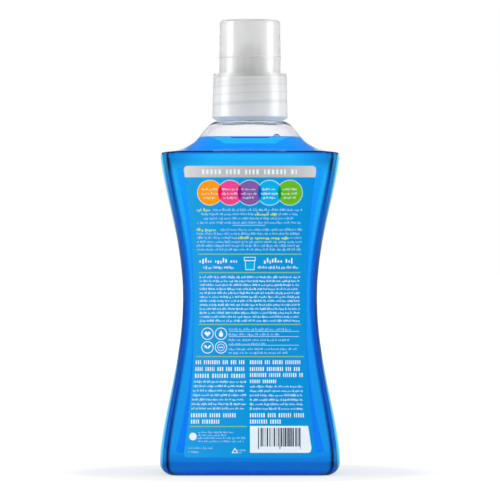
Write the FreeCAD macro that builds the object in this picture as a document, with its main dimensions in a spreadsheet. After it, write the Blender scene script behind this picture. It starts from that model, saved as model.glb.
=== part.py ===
import FreeCAD, Part
import math
import os
import re
import Sketcher

# Laundry detergent bottle, standing on its foot. X is the width, Y the depth, +Z up.
# The label that carries the bar code faces -Y. The origin is under the middle of the foot.

doc = FreeCAD.newDocument("DetergentBottle")

# Driving sizes, in millimetres (angles in degrees)
sheet = doc.addObject("Spreadsheet::Sheet", "Sizes")
driving = [
    ("wide_half_width", 57.2, "half the width at the foot and at the shoulder rim"),
    ("waist_half_width", 42.5, "half the width at the narrowest height"),
    ("half_depth", 40.8, "from the axis to each flat label panel"),
    ("foot_height", 14.5, "top of the upright band above the foot"),
    ("waist_height", 111.7, "height of the narrowest section"),
    ("rim_height", 203.1, "height of the rim where the shoulder starts"),
    ("rim_round", 2.7, "rounding of that rim"),
    ("foot_round", 7.0, "rounding of the bottom edge"),
    ("side_bulge_wide", 3.5, "how far the side stands out past the panel, wide sections"),
    ("side_bulge_waist", 1.0, "the same at the waist"),
    ("panel_corner", 5.0, "rounding between the panel and the side"),
    ("bottle_wall", 0.6, "wall of the blown body"),
    ("shoulder_top", 223.0, "height where the shoulder meets the neck"),
    ("neck_foot_radius", 22.6, "radius of the shoulder's top"),
    ("neck_radius", 20.0, "outside of the neck under its thread"),
    ("neck_wall", 1.9, "wall of the neck"),
    ("neck_top", 240.9, "height of the neck's sealing land"),
    ("neck_bead_radius", 22.2, "ring on the neck that the collar's lip snaps under"),
    ("neck_bead_bottom", 227.0, "lower edge of that ring"),
    ("neck_bead_height", 1.4, "height of that ring"),
    ("neck_thread_depth", 1.3, "how far the neck thread stands out"),
    ("neck_thread_half_width", 1.3, "half the width of the neck thread at mid height"),
    ("neck_thread_pitch", 6.0, "rise of the neck thread for each turn"),
    ("neck_thread_start", 230.8, "height where the neck thread starts"),
    ("neck_thread_turns", 1.25, "turns of the neck thread"),
    ("pushup_inset", 11.0, "width of the foot ring round the recessed base"),
    ("pushup_slope", 7.0, "how far the recess narrows on its way up"),
    ("pushup_height", 5.0, "depth of the recess under the base"),
    ("pushup_corner", 9.0, "rounding of the recess in plan"),
    ("liquid_level", 212.4, "height of the liquid's surface"),
    ("liquid_gap", 0.1, "room between the liquid's solid and the wall"),
    ("collar_bottom", 223.1, "lower edge of the collar"),
    ("collar_top", 251.0, "upper edge of the collar"),
    ("collar_radius_low", 24.0, "outside of the collar at its lower edge"),
    ("collar_radius_high", 23.4, "outside of the collar at its upper edge"),
    ("collar_wall", 1.2, "wall of the collar"),
    ("collar_lip_height", 2.6, "height of the slanted lip under the collar"),
    ("collar_lip_radius", 20.4, "inside of that lip, round the neck"),
    ("collar_lip_edge", 0.5, "width of the lip's flat lower edge"),
    ("web_thickness", 1.3, "web that seats on the neck"),
    ("plug_length", 5.0, "plug that seals inside the neck"),
    ("plug_gap", 0.1, "room between the plug and the neck"),
    ("plug_wall", 1.1, "wall of the plug"),
    ("spout_height", 272.6, "top of the pouring spout at its lip"),
    ("spout_radius_low", 10.0, "outside of the spout at its root"),
    ("spout_radius_high", 8.0, "outside of the spout at its top"),
    ("spout_wall", 1.2, "wall of the spout"),
    ("lip_drop", 6.0, "how far the slanted lip falls from front to back"),
    ("drain_width", 4.5, "width of the drain hole behind the spout"),
    ("cap_top", 287.2, "top of the upturned cup"),
    ("cup_radius", 19.5, "outside of the cup"),
    ("cup_wall", 1.1, "wall of the cup"),
    ("cup_draft", 0.3, "how much narrower the cup is at its closed end"),
    ("cup_edge_round", 1.8, "rounding of the cup's closed end"),
    ("fill_line_height", 263.5, "height of the ring that marks the dose"),
    ("fill_line_depth", 0.25, "how far that ring stands out"),
    ("flange_radius", 23.3, "outside of the cup's flange"),
    ("flange_height", 2.3, "thickness of the flange"),
    ("cap_skirt_length", 7.9, "threaded part below the flange"),
    ("cap_skirt_radius", 20.3, "outside of that part under its thread"),
    ("cap_thread_depth", 0.8, "how far the cap thread stands out"),
    ("collar_thread_depth", 0.7, "how far the thread inside the collar stands in"),
    ("cap_thread_pitch", 8.7, "rise of the cap thread for each turn"),
    ("cap_thread_rise", 3.6, "height that each ridge of the cap thread climbs"),
    ("thread_half_width", 0.7, "half the width of the cap thread at mid height"),
    ("thread_sink", 0.3, "how far a ridge's root sits in its wall"),
    ("back_half_width", 41.8, "half the back label's width at its ends"),
    ("back_waist_inset", 6.8, "how much its long edges curve in"),
    ("front_half_width", 47.5, "half the front label's width at its ends"),
    ("front_waist_inset", 11.9, "how much its long edges curve in"),
    ("label_bottom", 11.7, "lower edge of the labels"),
    ("label_top", 194.1, "upper edge of the labels"),
    ("label_corner", 3.0, "corner rounding of the labels"),
    ("label_thickness", 0.12, "thickness of the printed film"),
]
for row, (alias, value, meaning) in enumerate(driving, 1):
    sheet.set(f"A{row}", meaning)
    sheet.set(f"B{row}", str(value))
    sheet.setAlias(f"B{row}", alias)
doc.recompute()

# Shapes that are not sizes: levels of the lofts and proportions of the forms
edge_levels = 5             # levels of a quarter-round edge, 18 degrees apart
rim_levels = 4              # the rim stops 18 degrees short of level, where the shoulder takes over
waist_levels = 6            # levels of each half of the waist
recess_levels = 5           # levels of the recess under the base
flare = 1.6                 # more than 1 lets the sides flare early and straighten at their ends
thread_root_share = 1.6     # width of a thread's root and crest against its width at mid height
thread_crest_share = 0.6
least_bow = 0.05            # bow of the shoulder where it is round, in millimetres
nearly_round = 0.97         # corner radius of the shoulder's top against its radius
hairline = 0.01             # lengths closer than this are the same


def size(alias):
    """The number in the sheet's cell of that name."""
    return float(sheet.get(alias))


def bound(formula):
    """The formula with each sheet name written the way an expression reads it."""
    return re.sub(r"[a-z][a-z_]+", lambda word: "Sizes." + word.group(), formula)


def origin_plane(body, role):
    return next(item for item in body.Origin.OriginFeatures if item.Role == role)


def new_body(label):
    body = doc.addObject("PartDesign::Body", label)
    body.Label = label
    return body


def new_sketch(body, name, role, offset=None):
    """A sketch on one of the body's own origin planes, moved along its normal by a formula."""
    sketch = body.newObject("Sketcher::SketchObject", name)
    sketch.AttachmentSupport = [(origin_plane(body, role), "")]
    sketch.MapMode = "FlatFace"
    if offset:
        sketch.setExpression("AttachmentOffset.Base.z", bound(offset))
    return sketch


def pin_point(sketch, geometry, end, across, up):
    """Ties one point of a sketch to formulas; a formula of 0 puts it on that axis."""
    for kind, formula, axis in (("DistanceX", across, -2), ("DistanceY", up, -1)):
        if formula == "0":
            sketch.addConstraint(Sketcher.Constraint("PointOnObject", geometry, end, axis))
        else:
            index = sketch.addConstraint(Sketcher.Constraint(kind, -1, 1, geometry, end, 1.0))
            sketch.setExpression(f"Constraints[{index}]", bound(formula))


def profile(body, name, corners):
    """A closed outline of straight runs in the XZ plane, each corner given by two formulas."""
    sketch = new_sketch(body, name, "XZ_Plane")
    count = len(corners)
    turn = 2 * math.pi / count
    middle = FreeCAD.Vector(size("neck_radius"), size("shoulder_top"), 0)
    reach = size("neck_radius") / 2
    start = [middle + FreeCAD.Vector(reach * math.cos(turn * step), reach * math.sin(turn * step), 0)
             for step in range(count)]
    for step in range(count):
        sketch.addGeometry(Part.LineSegment(start[step], start[(step + 1) % count]), False)
    for step, (across, up) in enumerate(corners):
        before = (step - 1) % count
        sketch.addConstraint(Sketcher.Constraint("Coincident", before, 2, step, 1))
        pin_point(sketch, step, 1, across, up)
    return sketch


def turned(body, name, corners):
    """A full turn of an outline about the upright axis, added to the body."""
    sketch = profile(body, name + "_outline", corners)
    turn = body.newObject("PartDesign::Revolution", name)
    turn.Profile = sketch
    turn.ReferenceAxis = (sketch, ["V_Axis"])
    turn.Angle = 360
    doc.recompute()
    return turn


def thread(body, name, root, crest, start, rise, pitch):
    """Two short helical ridges, half a turn apart, between a root and a crest radius."""
    sketch = profile(body, name + "_outline", [
        (root, f"{start} - thread_half_width * {thread_root_share}"),
        (crest, f"{start} - thread_half_width * {thread_crest_share}"),
        (crest, f"{start} + thread_half_width * {thread_crest_share}"),
        (root, f"{start} + thread_half_width * {thread_root_share}"),
    ])
    ridge = body.newObject("PartDesign::AdditiveHelix", name)
    ridge.Profile = sketch
    ridge.ReferenceAxis = (sketch, ["V_Axis"])
    ridge.Mode = 0
    ridge.setExpression("Pitch", bound(pitch))
    ridge.setExpression("Height", bound(rise))
    doc.recompute()
    pair = body.newObject("PartDesign::PolarPattern", name + "_pair")
    pair.Originals = [ridge]
    pair.Axis = (sketch, ["V_Axis"])
    pair.Angle = 360
    pair.Occurrences = 2
    body.Tip = pair
    doc.recompute()


def section(height, half_width, half_depth, bulge, corner):
    """One level of the blown body: flat front and back, bowed sides, four rounded corners."""
    side_radius = (half_depth ** 2 + bulge ** 2) / (2 * bulge)
    side_centre = half_width - side_radius
    corner_y = half_depth - corner
    corner_x = side_centre + math.sqrt((side_radius - corner) ** 2 - corner_y ** 2)
    reach = side_radius / (side_radius - corner)
    touch_x = side_centre + (corner_x - side_centre) * reach
    touch_y = corner_y * reach
    lean = math.atan2(corner_y, corner_x - side_centre)
    middle = (math.pi / 2 + lean) / 2
    mid_x = corner_x + corner * math.cos(middle)
    mid_y = corner_y + corner * math.sin(middle)

    def point(x, y):
        return FreeCAD.Vector(x, y, height)

    edges = [
        Part.LineSegment(point(-corner_x, -half_depth), point(corner_x, -half_depth)),
        Part.Arc(point(corner_x, -half_depth), point(mid_x, -mid_y), point(touch_x, -touch_y)),
        Part.Arc(point(touch_x, -touch_y), point(half_width, 0), point(touch_x, touch_y)),
        Part.Arc(point(touch_x, touch_y), point(mid_x, mid_y), point(corner_x, half_depth)),
        Part.LineSegment(point(corner_x, half_depth), point(-corner_x, half_depth)),
        Part.Arc(point(-corner_x, half_depth), point(-mid_x, mid_y), point(-touch_x, touch_y)),
        Part.Arc(point(-touch_x, touch_y), point(-half_width, 0), point(-touch_x, -touch_y)),
        Part.Arc(point(-touch_x, -touch_y), point(-mid_x, -mid_y), point(-corner_x, -half_depth)),
    ]
    return Part.Wire([edge.toShape() for edge in edges])


def waist_share(height):
    """0 at the waist, 1 at the wide ends, with the soft flare of the sides between them."""
    top_of_flare = size("rim_height") - size("rim_round")
    end = top_of_flare if height > size("waist_height") else size("foot_height")
    along = (height - size("waist_height")) / (end - size("waist_height"))
    return flare * along ** 2 - (flare - 1) * along ** 4


def body_section(height, inset, extra=0.0):
    """The body at one height, drawn in by a wall and, near its ends, by the rounding of an edge."""
    share = waist_share(height) if height > size("foot_height") else 1.0
    half_width = size("waist_half_width") + share * (size("wide_half_width") - size("waist_half_width"))
    bulge = size("side_bulge_waist") + share * (size("side_bulge_wide") - size("side_bulge_waist"))
    side_radius = (size("half_depth") ** 2 + bulge ** 2) / (2 * bulge) - inset - extra
    half_depth = size("half_depth") - inset - extra
    inner_bulge = side_radius - math.sqrt(side_radius ** 2 - half_depth ** 2)
    corner = size("panel_corner") - inset
    return half_width - inset - extra, half_depth, inner_bulge, corner


def loft(wires):
    return Part.makeLoft(wires, True, False)


def foot_stage(inset):
    """The rounded bottom edge, from the flat foot up to the upright band."""
    radius = size("foot_round") - inset
    wires = []
    for step in range(edge_levels + 1):
        angle = math.pi / 2 * step / edge_levels
        height = inset + radius * (1 - math.cos(angle))
        extra = radius * (1 - math.sin(angle))
        wires.append(section(height, *body_section(height, inset, extra)))
    return loft(wires)


def waist_stage(inset):
    """The waisted body between the two rounded edges."""
    low = size("foot_round")
    high = size("rim_height") - size("rim_round")
    waist = size("waist_height")
    foot = size("foot_height")
    heights = [low, (low + foot) / 2, foot]
    steps = range(1, waist_levels + 1)
    heights += [foot + (waist - foot) * step / waist_levels for step in steps]
    heights += [waist + (high - waist) * step / waist_levels for step in steps]
    return loft([section(height, *body_section(height, inset)) for height in heights])


# Shoulder levels as shares of the way from the rim to the neck: height, width, depth, corner, bow
shoulder_levels = [
    (0.00, 0.00, 0.00, 0.00, 1.00),
    (0.06, 0.24, 0.19, 0.52, 0.85),
    (0.15, 0.41, 0.33, 0.72, 0.65),
    (0.33, 0.60, 0.52, 0.86, 0.45),
    (0.52, 0.71, 0.67, 0.92, 0.35),
    (0.71, 0.80, 0.80, 0.95, 0.30),
    (0.89, 0.90, 0.91, 0.98, 0.20),
    (1.00, 1.00, 1.00, 1.00, 0.00),
]


def shoulder_stage(inset):
    """The rounded rim and the hollow-curved shoulder, four-sided at the rim and round at the neck."""
    start = size("rim_height") - size("rim_round")
    neck = size("neck_foot_radius")
    rise = size("shoulder_top") - size("rim_height")
    radius = size("rim_round") - inset
    wires = []
    for step in range(rim_levels + 1):
        angle = math.pi / 2 * step / edge_levels
        level = body_section(start, inset, radius * (1 - math.cos(angle)))
        wires.append(section(start + radius * math.sin(angle), *level))
    last_angle = math.pi / 2 * rim_levels / edge_levels
    rim = body_section(start, 0.0, size("rim_round") * (1 - math.cos(last_angle)))
    for index in range(1, len(shoulder_levels)):
        up, width, depth, corner, bow = shoulder_levels[index]
        before = shoulder_levels[index - 1]
        after = shoulder_levels[min(index + 1, len(shoulder_levels) - 1)]
        run = (after[1] - before[1]) * (rim[0] - neck)
        climb = (after[0] - before[0]) * rise
        slant = math.hypot(run, climb)
        inward = inset * climb / slant
        down = inset * run / slant
        if index == len(shoulder_levels) - 1:
            inward, down = inset, inset
        wires.append(section(
            size("rim_height") + rise * up - down,
            rim[0] + (neck - rim[0]) * width - inward,
            rim[1] + (neck - rim[1]) * depth - inward,
            least_bow + (rim[2] - least_bow) * bow,
            rim[3] + (neck * nearly_round - rim[3]) * corner - inward,
        ))
    return loft(wires)


def blown_form(inset):
    """The whole blown body, drawn in from the outside skin by a wall."""
    form = foot_stage(inset)
    for stage in (waist_stage(inset), shoulder_stage(inset)):
        form = form.fuse(stage)
    return form.removeSplitter()


def recess(grow):
    """The recess under the base; grown by the wall it makes the raised inner floor."""
    wires = []
    for step in range(recess_levels + 1):
        share = step / recess_levels
        ease = (1 - math.cos(math.pi * share)) / 2
        inset = size("pushup_inset") + size("pushup_slope") * share
        half_width, half_depth, bulge, corner = body_section(size("foot_height"), inset - grow)
        height = (size("pushup_height") + 2 * grow) * ease - grow
        wires.append(section(height, half_width, half_depth, bulge, size("pushup_corner") + grow))
    return loft(wires)


def shaped(name, shape):
    item = doc.addObject("Part::Feature", name)
    item.Shape = shape
    return item


def tube_between(name, radius, low, high):
    """An upright cylinder between two heights, tied to the sheet."""
    rod = doc.addObject("Part::Cylinder", name)
    rod.setExpression("Radius", bound(radius))
    rod.setExpression("Height", bound(f"{high} - ({low})"))
    rod.setExpression("Placement.Base.z", bound(low))
    return rod


def thread_ridge(root_radius, depth, half_width, pitch, start, turns):
    """A helical ridge that stands out of a round wall."""
    helix = Part.makeHelix(pitch, pitch * turns, root_radius)
    helix.translate(FreeCAD.Vector(0, 0, start))
    base = root_radius - size("thread_sink")
    crest = root_radius + depth
    wide = half_width * thread_root_share
    narrow = half_width * thread_crest_share
    corners = [(base, -wide), (crest, -narrow), (crest, narrow), (base, wide)]
    points = [FreeCAD.Vector(x, 0, start + z) for x, z in corners]
    ring = Part.makePolygon(points + [points[0]])
    return Part.Wire(helix).makePipeShell([ring], True, True)


# Bottle: outside skin, neck, ring and thread, less the inside, the recess and the bore
outside = shaped("blown_skin", blown_form(0.0))
inside = shaped("blown_hollow", blown_form(size("bottle_wall")).cut(recess(size("bottle_wall"))))
base_recess = shaped("base_recess", recess(0.0))
neck_tube = tube_between("neck_tube", "neck_radius", "shoulder_top - neck_wall", "neck_top")
neck_bead = tube_between("neck_bead", "neck_bead_radius", "neck_bead_bottom",
                         "neck_bead_bottom + neck_bead_height")
neck_bore = tube_between("neck_bore", "neck_radius - neck_wall", "shoulder_top - neck_wall * 2",
                         "neck_top + neck_wall")
neck_thread = shaped("neck_thread", thread_ridge(
    size("neck_radius"), size("neck_thread_depth"), size("neck_thread_half_width"),
    size("neck_thread_pitch"), size("neck_thread_start"), size("neck_thread_turns")))
bottle_solid = doc.addObject("Part::MultiFuse", "bottle_solid")
bottle_solid.Shapes = [outside, neck_tube, neck_bead, neck_thread]
bottle_space = doc.addObject("Part::MultiFuse", "bottle_space")
bottle_space.Shapes = [inside, neck_bore, base_recess]
bottle = doc.addObject("Part::Cut", "bottle")
bottle.Base = bottle_solid
bottle.Tool = bottle_space
bottle.Label = "bottle"
doc.recompute()

# Detergent: the inside of the body up to the liquid's surface
skin_to_liquid = size("bottle_wall") + size("liquid_gap")
liquid_form = shaped("liquid_form", blown_form(skin_to_liquid).cut(recess(skin_to_liquid)))
liquid_block = doc.addObject("Part::Box", "liquid_block")
liquid_block.setExpression("Length", bound("wide_half_width * 2"))
liquid_block.setExpression("Width", bound("half_depth * 2"))
liquid_block.setExpression("Height", bound("liquid_level"))
liquid_block.setExpression("Placement.Base.x", bound("-wide_half_width"))
liquid_block.setExpression("Placement.Base.y", bound("-half_depth"))
detergent = doc.addObject("Part::Common", "detergent")
detergent.Base = liquid_form
detergent.Tool = liquid_block
detergent.Label = "detergent"
doc.recompute()

# Spout collar: skirt with a slanted lip under it, web on the neck, plug in the neck, gutter and
# pouring spout in one moulding
spout_collar = new_body("spout_collar")
turned(spout_collar, "collar_turned", [
    ("collar_radius_low", "collar_bottom + collar_lip_height"),
    ("collar_radius_high", "collar_top"),
    ("collar_radius_high - collar_wall", "collar_top"),
    ("collar_radius_high - collar_wall", "neck_top + web_thickness"),
    ("neck_radius - neck_wall - plug_gap - plug_wall", "neck_top + web_thickness"),
    ("neck_radius - neck_wall - plug_gap - plug_wall", "neck_top - plug_length + web_thickness"),
    ("spout_radius_low", "neck_top - plug_length + web_thickness"),
    ("spout_radius_high", "spout_height"),
    ("spout_radius_high - spout_wall", "spout_height"),
    ("spout_radius_low - spout_wall", "neck_top - plug_length"),
    ("neck_radius - neck_wall - plug_gap", "neck_top - plug_length"),
    ("neck_radius - neck_wall - plug_gap", "neck_top"),
    ("collar_radius_low - collar_wall", "neck_top"),
    ("collar_radius_low - collar_wall", "collar_bottom + collar_lip_height + collar_wall / 2"),
    ("collar_lip_radius", "collar_bottom + collar_wall"),
    ("collar_lip_radius", "collar_bottom"),
    ("collar_lip_radius + collar_lip_edge", "collar_bottom"),
])

# Thread for the cap, inside the collar
thread(spout_collar, "collar_thread", "collar_radius_high - collar_wall + thread_sink",
       "collar_radius_high - collar_wall - collar_thread_depth",
       "collar_top - cap_thread_rise - thread_half_width * 3", "cap_thread_rise", "cap_thread_pitch")

# The spout's lip is cut on a slant, low at the back
lip_sketch = new_sketch(spout_collar, "lip_outline", "YZ_Plane")
lip_y = size("spout_radius_low")
lip_z = size("spout_height")
lip_corners = [FreeCAD.Vector(-lip_y, lip_z, 0), FreeCAD.Vector(lip_y, lip_z - size("lip_drop"), 0),
               FreeCAD.Vector(lip_y, lip_z, 0)]
for step in range(3):
    lip_sketch.addGeometry(Part.LineSegment(lip_corners[step], lip_corners[(step + 1) % 3]), False)
for step in range(3):
    lip_sketch.addConstraint(Sketcher.Constraint("Coincident", (step - 1) % 3, 2, step, 1))
lip_sketch.addConstraint(Sketcher.Constraint("Horizontal", 2))
lip_sketch.addConstraint(Sketcher.Constraint("Vertical", 1))
pin = lip_sketch.addConstraint(Sketcher.Constraint("DistanceY", -1, 1, 0, 1, lip_z))
lip_sketch.setExpression(f"Constraints[{pin}]", bound("spout_height"))
pin = lip_sketch.addConstraint(Sketcher.Constraint("DistanceX", 0, 1, -1, 1, lip_y))
lip_sketch.setExpression(f"Constraints[{pin}]", bound("spout_radius_low"))
pin = lip_sketch.addConstraint(Sketcher.Constraint("DistanceX", -1, 1, 1, 1, lip_y))
lip_sketch.setExpression(f"Constraints[{pin}]", bound("spout_radius_low"))
pin = lip_sketch.addConstraint(Sketcher.Constraint("DistanceY", 1, 1, 1, 2, size("lip_drop")))
lip_sketch.setExpression(f"Constraints[{pin}]", bound("lip_drop"))
before_lip = spout_collar.Tip.Shape.Volume
lip_cut = spout_collar.newObject("PartDesign::Pocket", "lip_cut")
lip_cut.Profile = lip_sketch
lip_cut.Type = "ThroughAll"
lip_cut.Midplane = True
doc.recompute()
print("slanted lip took", round(before_lip - lip_cut.Shape.Volume, 1), "mm3")

# Drain hole through the gutter, behind the spout
drain_sketch = new_sketch(spout_collar, "drain_outline", "XY_Plane", "neck_top")
drain_y = (size("neck_radius") - size("neck_wall") - size("plug_gap") - size("plug_wall")
           + size("spout_radius_low")) / 2
drain_middle = FreeCAD.Vector(0, drain_y, 0)
drain_radius = size("drain_width") / 2
drain_sketch.addGeometry(Part.Circle(drain_middle, FreeCAD.Vector(0, 0, 1), drain_radius), False)
drain_sketch.addConstraint(Sketcher.Constraint("PointOnObject", 0, 3, -2))
pin = drain_sketch.addConstraint(Sketcher.Constraint("DistanceY", -1, 1, 0, 3, drain_y))
drain_sketch.setExpression(f"Constraints[{pin}]", bound(
    "(neck_radius - neck_wall - plug_gap - plug_wall + spout_radius_low) / 2"))
pin = drain_sketch.addConstraint(Sketcher.Constraint("Diameter", 0, 4))
drain_sketch.setExpression(f"Constraints[{pin}]", bound("drain_width"))
before_drain = spout_collar.Tip.Shape.Volume
drain_cut = spout_collar.newObject("PartDesign::Pocket", "drain_cut")
drain_cut.Profile = drain_sketch
drain_cut.Type = "Length"
drain_cut.setExpression("Length", bound("plug_length + web_thickness"))
doc.recompute()
print("drain hole took", round(before_drain - drain_cut.Shape.Volume, 1), "mm3")

# Dosing cap: an upturned measuring cup with a flange and a short threaded skirt
dosing_cap = new_body("dosing_cap")
turned(dosing_cap, "cap_turned", [
    ("0", "cap_top"),
    ("cup_radius - cup_draft", "cap_top"),
    ("cup_radius", "fill_line_height + fill_line_depth * 2"),
    ("cup_radius + fill_line_depth", "fill_line_height + fill_line_depth"),
    ("cup_radius + fill_line_depth", "fill_line_height - fill_line_depth"),
    ("cup_radius", "fill_line_height - fill_line_depth * 2"),
    ("cup_radius", "collar_top + flange_height"),
    ("flange_radius", "collar_top + flange_height"),
    ("flange_radius", "collar_top"),
    ("cap_skirt_radius", "collar_top"),
    ("cap_skirt_radius", "collar_top - cap_skirt_length"),
    ("cup_radius - cup_wall", "collar_top - cap_skirt_length"),
    ("cup_radius - cup_wall - cup_draft", "cap_top - cup_wall"),
    ("0", "cap_top - cup_wall"),
])


def edge_at(shape, radius, height):
    """The name of the round edge of that radius at that height."""
    for number, edge in enumerate(shape.Edges, 1):
        box = edge.BoundBox
        level = abs(box.ZMin - height) < hairline and box.ZLength < hairline
        if level and abs(box.XMax - radius) < hairline:
            return f"Edge{number}"
    return None


def rounded(body, name, edges, radius):
    """A fillet on edges of the body's last feature."""
    base = body.Tip
    fillet = body.newObject("PartDesign::Fillet", name)
    fillet.Base = (base, edges)
    fillet.setExpression("Radius", bound(radius))
    doc.recompute()
    return fillet


thread(dosing_cap, "cap_thread", "cap_skirt_radius - thread_sink", "cap_skirt_radius + cap_thread_depth",
       "collar_top - cap_skirt_length + thread_half_width * 2", "cap_thread_rise", "cap_thread_pitch")

closed_end = edge_at(dosing_cap.Tip.Shape, size("cup_radius") - size("cup_draft"), size("cap_top"))
rounded(dosing_cap, "closed_end_round", [closed_end], "cup_edge_round")
floor_corner = edge_at(dosing_cap.Tip.Shape, size("cup_radius") - size("cup_wall") - size("cup_draft"),
                       size("cap_top") - size("cup_wall"))
rounded(dosing_cap, "cup_floor_round", [floor_corner], "cup_edge_round - cup_wall / 2")


def label(name, offset, width_name, inset_name):
    """A printed film on one flat panel, with long edges that follow the waist."""
    body = new_body(name)
    sketch = new_sketch(body, name + "_outline", "XZ_Plane", offset)
    wide = size(width_name)
    inset = size(inset_name)
    low = size("label_bottom")
    high = size("label_top")
    middle = (low + high) / 2
    sketch.addGeometry([
        Part.LineSegment(FreeCAD.Vector(-wide, low, 0), FreeCAD.Vector(wide, low, 0)),
        Part.Arc(FreeCAD.Vector(wide, low, 0), FreeCAD.Vector(wide - inset, middle, 0),
                 FreeCAD.Vector(wide, high, 0)),
        Part.LineSegment(FreeCAD.Vector(wide, high, 0), FreeCAD.Vector(-wide, high, 0)),
        Part.Arc(FreeCAD.Vector(-wide, high, 0), FreeCAD.Vector(inset - wide, middle, 0),
                 FreeCAD.Vector(-wide, low, 0)),
    ], False)
    sketch.addConstraint([
        Sketcher.Constraint("Symmetric", 0, 1, 0, 2, -2),
        Sketcher.Constraint("Symmetric", 2, 1, 2, 2, -2),
        Sketcher.Constraint("Coincident", 0, 2, 1, 2),
        Sketcher.Constraint("Coincident", 1, 1, 2, 1),
        Sketcher.Constraint("Coincident", 2, 2, 3, 2),
        Sketcher.Constraint("Coincident", 3, 1, 0, 1),
    ])
    chord = (high - low) / 2
    radius = (chord ** 2 + inset ** 2) / (2 * inset)
    formula = f"(((label_top - label_bottom) / 2)^2 + {inset_name}^2) / (2 * {inset_name})"
    for kind, where, value, text in (
        ("DistanceX", (-1, 1, 0, 2), wide, width_name),
        ("DistanceX", (-1, 1, 2, 1), wide, width_name),
        ("DistanceY", (-1, 1, 0, 2), low, "label_bottom"),
        ("DistanceY", (-1, 1, 2, 1), high, "label_top"),
        ("Radius", (1,), radius, formula),
        ("Radius", (3,), radius, formula),
    ):
        index = sketch.addConstraint(Sketcher.Constraint(kind, *where, value))
        sketch.setExpression(f"Constraints[{index}]", bound(text))
    doc.recompute()
    film = body.newObject("PartDesign::Pad", name + "_film")
    film.Profile = sketch
    film.setExpression("Length", bound("label_thickness"))
    doc.recompute()
    corners = []
    for number, edge in enumerate(film.Shape.Edges, 1):
        if abs(edge.Length - size("label_thickness")) < hairline:
            corners.append(f"Edge{number}")
    rounded(body, name + "_corners", corners, "label_corner")
    return body


back_label = label("back_label", "half_depth", "back_half_width", "back_waist_inset")
front_label = label("front_label", "-half_depth - label_thickness", "front_half_width", "front_waist_inset")

doc.recompute()
for item in doc.Objects:
    if "Invalid" in item.State or "Error" in item.State:
        raise RuntimeError(f"{item.Name} is {item.State}")

sub_parts = [bottle, detergent, spout_collar, dosing_cap, back_label, front_label]
for part in sub_parts:
    if part.Shape.isNull() or not part.Shape.isValid():
        raise RuntimeError(f"{part.Label} has no valid shape")

os.makedirs("parts", exist_ok=True)
for part in sub_parts:
    box = part.Shape.optimalBoundingBox(True, False)
    print(f"{part.Label}: {len(part.Shape.Solids)} solid, {part.Shape.Volume / 1000:.1f} ml,",
          f"X {box.XMin:.2f} {box.XMax:.2f},",
          f"Y {box.YMin:.2f} {box.YMax:.2f},",
          f"Z {box.ZMin:.2f} {box.ZMax:.2f}")
    part.Shape.exportStep(os.path.join("parts", part.Label + ".step"))
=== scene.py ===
import bpy
import math
import random
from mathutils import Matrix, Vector


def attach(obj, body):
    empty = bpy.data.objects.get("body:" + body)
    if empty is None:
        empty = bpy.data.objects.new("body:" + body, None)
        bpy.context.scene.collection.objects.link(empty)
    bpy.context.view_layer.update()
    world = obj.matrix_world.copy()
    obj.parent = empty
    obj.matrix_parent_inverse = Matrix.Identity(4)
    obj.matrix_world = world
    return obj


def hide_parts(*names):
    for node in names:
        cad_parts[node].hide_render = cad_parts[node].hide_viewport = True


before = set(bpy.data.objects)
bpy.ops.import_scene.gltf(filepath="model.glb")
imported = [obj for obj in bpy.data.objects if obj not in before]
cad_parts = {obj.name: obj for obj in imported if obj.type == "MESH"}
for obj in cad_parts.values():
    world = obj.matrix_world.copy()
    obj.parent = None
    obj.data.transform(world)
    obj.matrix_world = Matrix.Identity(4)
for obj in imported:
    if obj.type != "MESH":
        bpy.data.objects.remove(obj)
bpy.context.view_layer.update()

# Laundry detergent bottle: clear waisted shell full of blue liquid, frosted collar and dosing cap,
# a printed film on the front and on the back. The back film faces the camera, towards -Y.

mm = 0.001
pixel = 0.6355 * mm      # one pixel of the photograph at the bottle's axis
midColumn = 250.0        # the bottle's axis in the photograph
bottleBody = "filled_bottle"
random.seed(11)


def deselectAll():
    if bpy.context.object and bpy.context.object.mode != "OBJECT":
        bpy.ops.object.mode_set(mode="OBJECT")
    for item in list(bpy.context.selected_objects):
        item.select_set(False)


def settle(piece, name, body, material, smoothAngle=30):
    # puts a finished piece's place in its mesh, shades it and hands it to its body
    piece.name = name
    piece.data.name = name
    deselectAll()
    piece.select_set(True)
    bpy.context.view_layer.objects.active = piece
    bpy.ops.object.transform_apply(location=True, rotation=True, scale=True)
    if smoothAngle:
        bpy.ops.object.shade_smooth_by_angle(angle=math.radians(smoothAngle))
    for finish in material if isinstance(material, list) else [material]:
        piece.data.materials.append(finish)
    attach(piece, body)
    return piece


# Camera: square on to the back label and at half height, as in the photograph
camera = {"distance": 2.5, "height": 0.1414, "frame": 500, "sensor": 36.0, "midRow": 250.0}
eyeHeight = camera["height"]


def makeCamera():
    deselectAll()
    bpy.ops.object.camera_add(location=(0, -camera["distance"], eyeHeight), rotation=(math.radians(90), 0, 0))
    eye = bpy.context.object
    eye.name = "productCamera"
    eye.data.sensor_width = camera["sensor"]
    eye.data.lens = camera["sensor"] * camera["distance"] / (camera["frame"] * pixel)
    eye.data.clip_end = 50
    bpy.context.scene.camera = eye


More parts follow.
